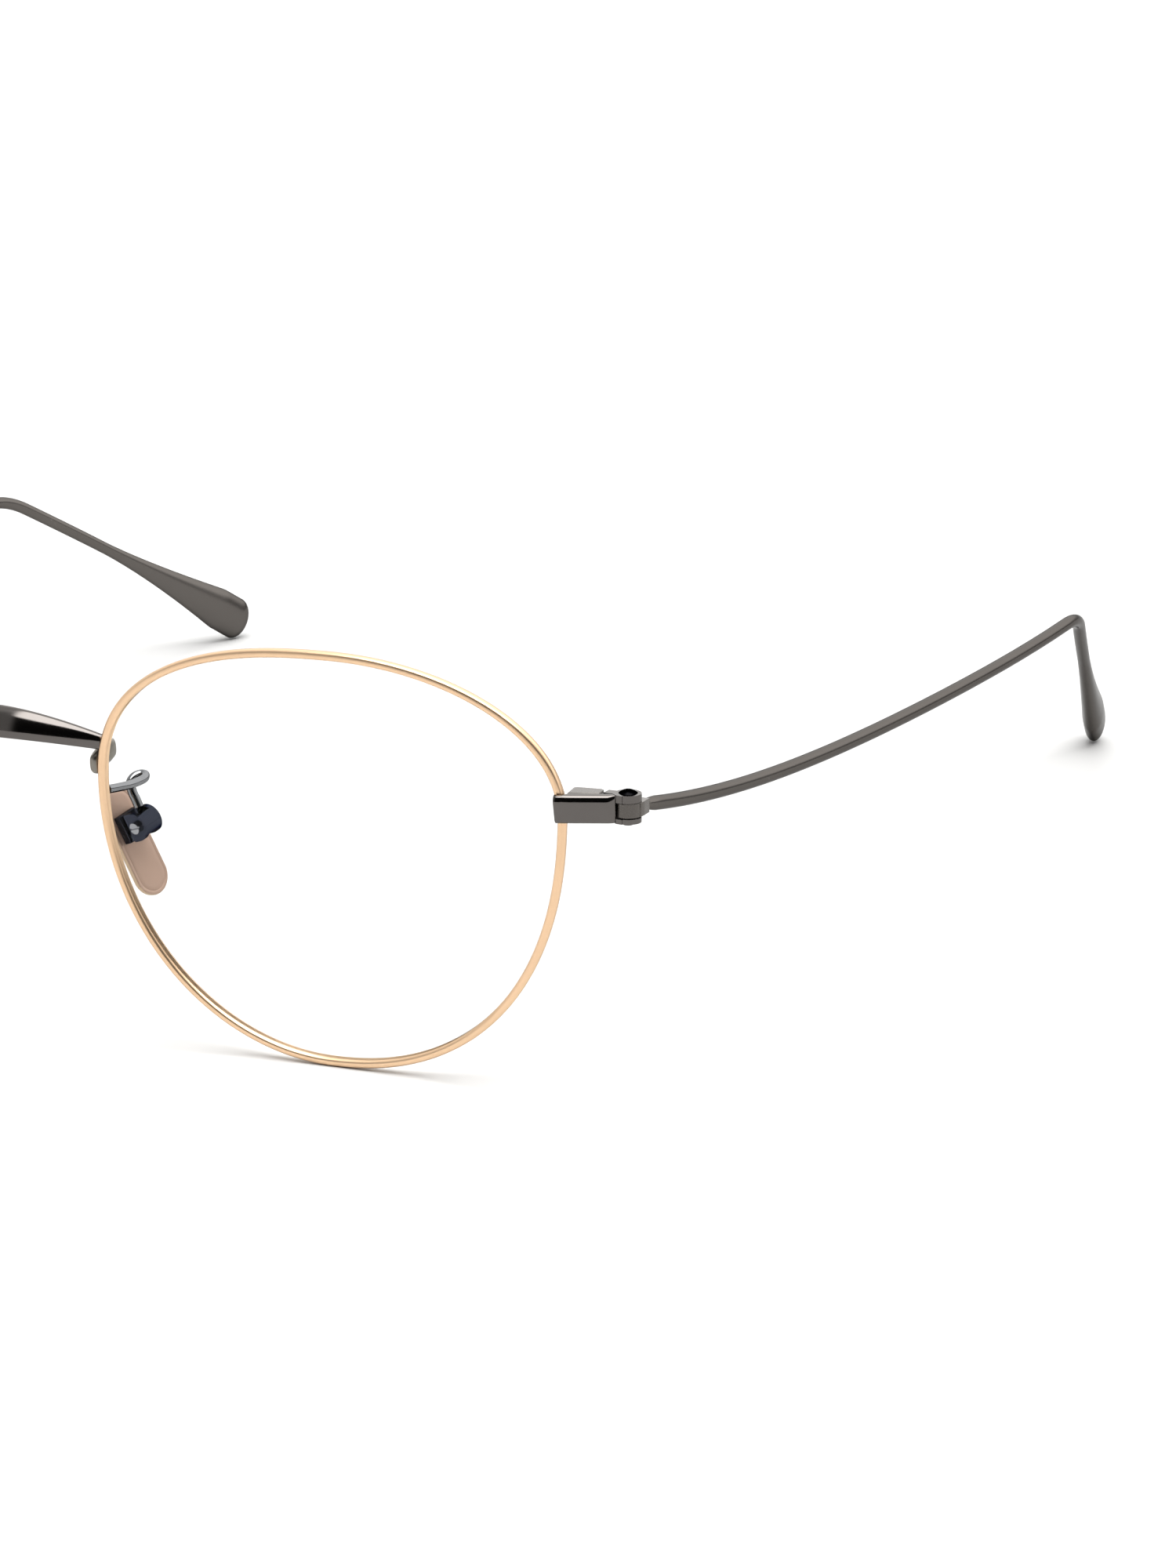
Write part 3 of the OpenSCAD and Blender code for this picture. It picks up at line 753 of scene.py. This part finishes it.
def bridge_rings():
    """Bar along x = half * s, with y and z changing as s^2, tall in the middle and slim at the rims. Its
    upper edge leans back by lean * (1 - s^4)."""
    sizes = bpy.context.scene.spectacles_bridge
    s = np.linspace(-1, 1, 141)
    path = np.stack([BRIDGE_HALF * s, BRIDGE_Y + BRIDGE_SWEEP * s**2, BRIDGE_Z + BRIDGE_DROP * s**2], -1)
    lean = sizes.lean * (1 - s**4)
    up = np.stack([0 * s, np.sin(lean), np.cos(lean)], -1)
    middle, end = sizes.middle / MM, sizes.end / MM
    tall = (middle - (middle - end) * np.abs(s) ** BRIDGE_TAPER) / 2
    thick = sizes.thick / MM / 2 * (1 - BRIDGE_THINNING * s**2)
    return from_datum(swept(path, up, tall, thick, 48, BRIDGE_SECTION))


def foot_rings(side):
    """Soft hull of the foot balls: for each direction d, their middles and radii are averaged with weights
    that grow as exp(pull * (middle . d + radius)), and the point is middle + radius * d."""
    middles, radii = FOOT_BALLS[:, :3], FOOT_BALLS[:, 3]
    polar = np.linspace(0, np.pi, 26)[1:-1, None]
    turn = np.linspace(0, 2 * np.pi, 40, endpoint=False)[None, :]
    flat, level = np.sin(polar), np.cos(polar)
    d = np.stack(np.broadcast_arrays(flat * np.cos(turn), flat * np.sin(turn), level), -1)
    up, down = (np.broadcast_to([0, 0, z], (1, 40, 3)) for z in (1.0, -1.0))
    d = np.concatenate([up, d, down])
    reach = d @ middles.T + radii
    weight = np.exp(FOOT_PULL * (reach - reach.max(-1, keepdims=True)))
    weight /= weight.sum(-1, keepdims=True)
    points = weight @ middles + (weight @ radii)[..., None] * d
    return for_side(from_datum(points), side)


class SPECTACLES_OT_bridge(bpy.types.Operator):
    """Saddle bridge bar with an oval foot behind each rim."""

    bl_idname = "spectacles.bridge"
    bl_label = "Bridge"

    def execute(self, context):
        bar = skin("bridge_bar", bridge_rings(), material("polished"))
        placed(bar, "front", "gunmetal_polished", "bridge")
        for side in SIDES:
            rings = foot_rings(side)
            poles = rings[0, 0], rings[-1, 0]
            foot = skin(f"bridge_foot_{side}", rings[1:-1], material("braze"), tips=poles)
            placed(foot, "front", "gunmetal_polished")
        return {"FINISHED"}


def endpiece_rings(side):
    """Rounded bar across the rim: at each station its section runs round four elliptical corners between the
    front and back lines of the plan, and each end draws in on a quarter circle."""
    bow = np.linspace(0, np.pi / 2, 5)
    near = END_DRAW * (1 - np.cos(bow))
    drawn = END_DRAW * (1 - np.sin(bow))
    long = END_RIGHT - END_LEFT_LOW
    s = np.concatenate([near, END_STATIONS, long - near[::-1]]) / long
    inset = np.concatenate([drawn, np.zeros(len(END_STATIONS)), drawn[::-1]])
    quarter = np.linspace(0, np.pi / 2, 9)
    c, q = np.cos(quarter), np.sin(quarter)
    low, high = LOCK_V - LOCK_HALF, LOCK_V + LOCK_HALF

    def section(v_share):
        """Where a station's points lie across: 0 is the lower edge and 1 the upper one."""
        left = END_LEFT_LOW + (END_LEFT_HIGH - END_LEFT_LOW) * v_share
        return left + (END_RIGHT - left) * s[:, None]

    v = np.concatenate([
        low + CORNER_LOW * (1 - q[::-1]), high - CORNER_HIGH * (1 - q),
        high - CORNER_BACK * (1 - q[::-1]), low + CORNER_BACK * (1 - q),
    ])
    sunk = np.concatenate([1 - c[::-1], 1 - c])
    rest = np.zeros(len(sunk))
    forward, backward = np.concatenate([sunk, rest]), np.concatenate([rest, sunk])
    at_front = np.concatenate([rest + 1, rest])
    u = section((v - low) / (high - low))
    front = np.interp(u, *END_FRONT.T) - inset[:, None]
    back = np.interp(u, *END_BACK.T) + inset[:, None]
    thick = front - back
    round_front = np.minimum(np.where(v > LOCK_V, DEPTH_HIGH, DEPTH_LOW), FRONT_SHARE * thick)
    round_back = np.minimum(DEPTH_BACK, BACK_SHARE * thick)
    n = at_front * (front - round_front * forward) + (1 - at_front) * (back + round_back * backward)
    level = LOCK_V + (v - LOCK_V) * (1 - inset[:, None] / LOCK_HALF)
    return for_side(from_lens_plane(np.stack([u, level, n], -1)), side)


class SPECTACLES_OT_endpieces(bpy.types.Operator):
    """Endpieces across the rims, with the split rim locks and their screws behind them."""

    bl_idname = "spectacles.endpieces"
    bl_label = "Endpieces and rim locks"

    def execute(self, context):
        for side in SIDES:
            bar = skin(f"endpiece_bar_{side}", endpiece_rings(side), material("polished"), sharp=50)
            placed(bar, "front", "gunmetal_polished", f"endpiece_{side}")
            for level in ("upper", "lower"):
                node = f"rim_lock_{level}_{side}"
                block = softened(f"rim_lock_block_{level}_{side}", node, material("satin_flat"), 0.1)
                placed(block, "front", "gunmetal_satin", node)
            node = f"rim_lock_screw_{side}"
            screw = softened(f"rim_lock_fastener_{side}", node, material("dark_screw"), 0.035)
            placed(screw, "front", "screw_dark", node)
        return {"FINISHED"}


class SPECTACLES_OT_hinges(bpy.types.Operator):
    """Three-part hinge barrels with their domed screws."""

    bl_idname = "spectacles.hinges"
    bl_label = "Hinges"

    def execute(self, context):
        for side in SIDES:
            node = f"front_hinge_{side}"
            front = softened(f"hinge_barrel_front_{side}", node, material("polished"), 0.06)
            placed(front, "front", "gunmetal_polished", node)
            node = f"hinge_screw_{side}"
            screw = softened(f"hinge_pin_{side}", node, material("dark_screw"), 0.045)
            placed(screw, "front", "screw_dark", node)
            node = f"temple_hinge_{side}"
            knuckle = softened(f"hinge_barrel_temple_{side}", node, material("satin_flat"), 0.1)
            placed(knuckle, f"temple_{side}", "gunmetal_satin", node)
        return {"FINISHED"}


def temple_run(t):
    """Straight chord from the hinge to the bend, bowed outward by 4t(1-t) and dipped by its skewed forms."""
    t = t[:, None]
    q, e = 4 * t * (1 - t), 1 - 2 * t
    bow = np.concatenate([BOW_X * q, 0 * q, q * (DIP_Z + DIP_SKEW_Z * e + RIPPLE_Z * e * e)], -1)
    return TEMPLE_START + (TEMPLE_BEND - TEMPLE_START) * t + bow


def temple_fall(t):
    """Straight drop behind the ear with a slight hollow of 4t(1-t)."""
    t = t[:, None]
    return TEMPLE_BEND + TEMPLE_DROP * t + 4 * t * (1 - t) * FALL_HOLLOW


def temple_rings(side):
    """Run, bend and drop as one path; the round wire swells into the paddle as ((t - start) / span)^power
    along the drop and ends in a half ellipse of section sizes cos(a) at reach sin(a)."""
    sizes = bpy.context.scene.spectacles_temples
    run_end = 1 - BEND_REACH / (TEMPLE_BEND[1] - TEMPLE_START[1])
    fall_start = BEND_REACH / np.linalg.norm(TEMPLE_DROP)
    t = (np.arange(24) / 24)[:, None]
    a, c = temple_run(np.array([run_end])), temple_fall(np.array([fall_start]))
    bend = (1 - t) ** 2 * a + 2 * t * (1 - t) * TEMPLE_BEND + t * t * c
    run = np.concatenate([OPENING_AT, np.linspace(0.028, 1, 108, endpoint=False)]) * run_end
    fall = np.linspace(fall_start, 1, 72)
    path = np.concatenate([temple_run(run), bend, temple_fall(fall)])
    k = np.clip((fall - SWELL_START) / SWELL_SPAN, 0, 1) ** SWELL_POWER
    swell = np.concatenate([np.zeros(len(path) - len(fall)), k])
    wire = sizes.wire / MM / 2
    wide = wire + (sizes.paddle_width / MM / 2 - wire) * swell
    flat = wire + (sizes.paddle_thick / MM / 2 - wire) * swell
    taper = np.ones(len(path))
    taper[:len(OPENING_RADIUS)] = OPENING_RADIUS
    rings = swept(path, np.array([0.0, 0.0, 1.0]), wide * taper, flat * taper, 40)
    tip = directions(path)[-1]
    edge = rings[-1] - path[-1]
    angle = np.linspace(0, np.pi / 2, 13)[1:-1]
    c, q = (f(angle)[:, None, None] for f in (np.cos, np.sin))
    cap = path[-1] + tip * TIP_CAP * q + edge * c
    end = path[-1] + tip * TIP_CAP
    rings = for_side(from_datum(np.concatenate([rings, cap])), side)
    end = for_side(from_datum(end[None, None]), side)[0, 0]
    return rings, end


class SPECTACLES_OT_temples(bpy.types.Operator):
    """Skull temples: round wire with a drop behind the ear and a flat paddle at the tip."""

    bl_idname = "spectacles.temples"
    bl_label = "Temples"

    def execute(self, context):
        for side in SIDES:
            rings, end = temple_rings(side)
            wire = skin(f"temple_wire_{side}", rings, material("satin"), sharp=50, tips=(None, end))
            placed(wire, f"temple_{side}", "gunmetal_satin", f"temple_{side}")
        return {"FINISHED"}


def pad_arm_rings(side):
    """Round wire of slowly growing radius on the arm's own curve."""
    radius = bpy.context.scene.spectacles_pads.arm / MM
    path = curve_through(PAD_ARM_ROUTE, 10)
    grown = radius + ARM_GROWTH * np.linspace(0, 1, len(path))
    return for_side(from_datum(swept(path, carried(path, (0, 0, 1.0)), grown, grown, 24)), side)


def pad_rings(side):
    """Stadium outline drawn in by d at height h. The run of (d, h) goes over the outer face with a fine line
    sunk just inside its edge, round the rounded rim, and over the slightly hollowed nose face."""
    sizes = bpy.context.scene.spectacles_pads
    radius, thick = sizes.wide / MM / 2, sizes.thick / MM
    straight = sizes.long / MM / 2 - radius
    quarter = np.linspace(0, np.pi / 2, 7)
    r = PAD_EDGE_R
    drawn = np.concatenate([
        [radius * 0.99, 1.4, 0.9, 0.52, 0.47, 0.42, 0.37, 0.32],
        r * (1 - np.sin(quarter)), 2 * r * (1 - np.cos(quarter)), [0.9, 1.4, radius * 0.99],
    ])
    height = np.concatenate([
        [0, 0, 0, 0, -0.02, -0.035, -0.02, 0],
        -r * (1 - np.cos(quarter)), -thick + 2 * r * (1 - np.sin(quarter)),
        [-thick + 0.01, -thick + 0.02, -thick + 0.02],
    ])
    mark = np.concatenate([np.zeros(8), np.linspace(0.2, 1, 7), np.linspace(1, 0.3, 7), np.zeros(3)])
    angle = np.linspace(0, 2 * np.pi, 96, endpoint=False) + np.pi / 96
    reach = (radius - drawn)[:, None]
    x = reach * np.cos(angle)
    y = reach * np.sin(angle) + straight * np.sign(np.sin(angle))
    points = np.stack([x, y, np.broadcast_to(height[:, None], x.shape)], -1)
    marks = np.broadcast_to(mark[:, None], x.shape)
    return for_side(from_pad_plane(points), side), marks


class SPECTACLES_OT_nose_pads(bpy.types.Operator):
    """Nose pads with their bosses, boxes, screws and wire arms."""

    bl_idname = "spectacles.nose_pads"
    bl_label = "Nose pads"

    def execute(self, context):
        for side in SIDES:
            body = f"nose_pad_{side}"
            rings, marks = pad_rings(side)
            plate = skin(f"pad_plate_{side}", rings, material("pad"), marks=marks, sharp=60)
            placed(plate, body, "pad_titanium", f"nose_pad_{side}")
            boss = softened(f"pad_block_{side}", f"pad_boss_{side}", material("hardware"), 0.12)
            placed(boss, body, "pad_hardware", f"pad_boss_{side}")
            box = softened(f"pad_cup_{side}", f"pad_box_{side}", material("hardware"), 0.12)
            placed(box, "front", "pad_hardware", f"pad_box_{side}")
            screw = softened(f"pad_pin_{side}", f"pad_screw_{side}", material("bright_screw"), 0.06)
            placed(screw, "front", "screw_bright", f"pad_screw_{side}")
            arm = skin(f"pad_wire_{side}", pad_arm_rings(side), material("arm"), sharp=50)
            placed(arm, "front", "pad_hardware", f"pad_arm_{side}")
        return {"FINISHED"}


# ---- stage -----------------------------------------------------------------------------

# Camera round the temple side of the left lens: azimuth, elevation, distance and what it looks at
AZIMUTH, ELEVATION, DISTANCE = 25.56, 15.55, 0.49934
LOOK_AT = (62.44, 0.0, 32.38)
FOCAL = 125.15

# Where each part of the studio light fades, as components of the direction it comes from
BEHIND_FADE, HORIZON_FADE, HORIZON_TOP = (0.25, 0.75), (0.3, 0.7), (0.1, 0.24)
NOSE_SIDE_FADE, DARK_FADE, DARK_TURN = (-0.3, -0.2), (0.1, 0.45), 0.15
BOX_FADE, BOX_BACK = (0.76, 0.83), (0.2, 0.35)
FLOOR_HALF = 3.0


def make_world(strengths):
    """Studio light by direction: a bright box overhead, even behind and beside, and dark low down behind the
    object and behind the camera. The box and the dark zone both end short of the nose side."""
    world = bpy.data.worlds.new("studio")
    bpy.context.scene.world = world
    g = Graph(world)
    ray = g("ShaderNodeTexCoord", out="Generated")
    parts = g("ShaderNodeSeparateXYZ", {}, {0: ray})
    node = parts.socket.node
    x, y, z = (Wire(g, node.outputs[k]) for k in range(3))
    level = strengths.beside + g.band(y, *BEHIND_FADE) * (strengths.behind - strengths.beside)
    low = 1.0 - g.band(z, *HORIZON_TOP)
    level = level + g.band(y, *HORIZON_FADE) * low * (strengths.horizon - level)
    inward = g.band(x, *NOSE_SIDE_FADE)
    dark = strengths.nose_side + inward * (strengths.front - strengths.nose_side)
    level = level + g.band(0.0 - y + x * DARK_TURN, *DARK_FADE) * (dark - level)
    box = g.band(z, *BOX_FADE) * inward * (1.0 - g.band(y, *BOX_BACK))
    level = level + box * (strengths.overhead - level)
    seen = g("ShaderNodeLightPath", out="Is Camera Ray")
    level = level + seen * (1.0 - level)
    light = g("ShaderNodeBackground", {}, {"Color": (1.0, 0.995, 0.985, 1.0), "Strength": level})
    g("ShaderNodeOutputWorld", {}, {"Surface": light})


def make_floor(tone):
    """Large pale sheet with the faintest unevenness."""
    mesh = bpy.data.meshes.new("floor")
    corners = [(x * FLOOR_HALF, y * FLOOR_HALF, 0) for x, y in ((-1, -1), (1, -1), (1, 1), (-1, 1))]
    mesh.from_pydata(corners, [], [(0, 1, 2, 3)])
    paint = bpy.data.materials.new("pale floor")
    g = Graph(paint)
    where = g("ShaderNodeTexCoord", out="Object")
    clouds = g.noise(where, 6.0, 2.0)
    shade = g.mix(clouds, (tone, tone, tone), (tone * 0.99, tone * 0.99, tone * 0.985))
    g.surface(g(
        "ShaderNodeBsdfPrincipled", {},
        {"Base Color": shade, "Roughness": 0.75, "Specular IOR Level": 0.1},
    ))
    mesh.materials.append(paint)
    floor = bpy.data.objects.new("floor", mesh)
    bpy.context.scene.collection.objects.link(floor)
    floor.location.z = CAD_LOW.z


def make_camera():
    """Camera at the azimuth and elevation, at that distance from what it looks at, upright, without shift."""
    a, e = math.radians(AZIMUTH), math.radians(ELEVATION)
    back = Vector((math.sin(a) * math.cos(e), -math.cos(a) * math.cos(e), math.sin(e)))
    right = Vector((math.cos(a), math.sin(a), 0.0))
    data = bpy.data.cameras.new("camera")
    data.lens = FOCAL
    data.sensor_width = 36.0
    data.clip_start, data.clip_end = 0.01, 20.0
    camera = bpy.data.objects.new("camera", data)
    bpy.context.scene.collection.objects.link(camera)
    turn = Matrix((right, back.cross(right), back)).transposed()
    target = Vector(from_datum(LOOK_AT))
    camera.matrix_world = Matrix.Translation(target + back * DISTANCE) @ turn.to_4x4()
    bpy.context.scene.camera = camera


class SPECTACLES_OT_stage(bpy.types.Operator):
    """Pale floor, soft studio light and the camera."""

    bl_idname = "spectacles.stage"
    bl_label = "Stage"

    def execute(self, context):
        settings = context.scene.spectacles_stage
        make_floor(settings.floor)
        make_world(settings)
        make_camera()
        context.scene.view_settings.view_transform = "Standard"
        return {"FINISHED"}


OPERATORS = (
    SPECTACLES_OT_rims,
    SPECTACLES_OT_lenses,
    SPECTACLES_OT_bridge,
    SPECTACLES_OT_endpieces,
    SPECTACLES_OT_hinges,
    SPECTACLES_OT_temples,
    SPECTACLES_OT_nose_pads,
    SPECTACLES_OT_stage,
)
GROUPS = {
    "spectacles_rims": SpectaclesRimSizes,
    "spectacles_bridge": SpectaclesBridgeSizes,
    "spectacles_temples": SpectaclesTempleSizes,
    "spectacles_pads": SpectaclesPadSizes,
    "spectacles_finishes": SpectaclesFinishes,
    "spectacles_stage": SpectaclesStage,
}


class SPECTACLES_PT_panel(bpy.types.Panel):
    """Lists the pieces that can be built and their sizes."""

    bl_idname = "SPECTACLES_PT_panel"
    bl_label = "Wire Spectacles"
    bl_space_type = "VIEW_3D"
    bl_region_type = "UI"
    bl_category = "Spectacles"

    def draw(self, context):
        for operator in OPERATORS:
            self.layout.operator(operator.bl_idname)
        for name, group in GROUPS.items():
            box = self.layout.box()
            for key in group.__annotations__:
                box.prop(getattr(context.scene, name), key)


def register():
    """Registers the groups, hangs each on the scene, and registers the operators and the panel."""
    for group in GROUPS.values():
        bpy.utils.register_class(group)
    for name, group in GROUPS.items():
        setattr(bpy.types.Scene, name, bpy.props.PointerProperty(type=group))
    for cls in (*OPERATORS, SPECTACLES_PT_panel):
        bpy.utils.register_class(cls)


def unregister():
    """Takes away what register adds."""
    for cls in (SPECTACLES_PT_panel, *reversed(OPERATORS)):
        bpy.utils.unregister_class(cls)
    for name, group in GROUPS.items():
        delattr(bpy.types.Scene, name)
        bpy.utils.unregister_class(group)


def main():
    """Builds every piece and the stage."""
    register()
    bpy.ops.spectacles.rims()
    bpy.ops.spectacles.lenses()
    bpy.ops.spectacles.bridge()
    bpy.ops.spectacles.endpieces()
    bpy.ops.spectacles.hinges()
    bpy.ops.spectacles.temples()
    bpy.ops.spectacles.nose_pads()
    bpy.ops.spectacles.stage()


if __name__ == "__main__":
    main()
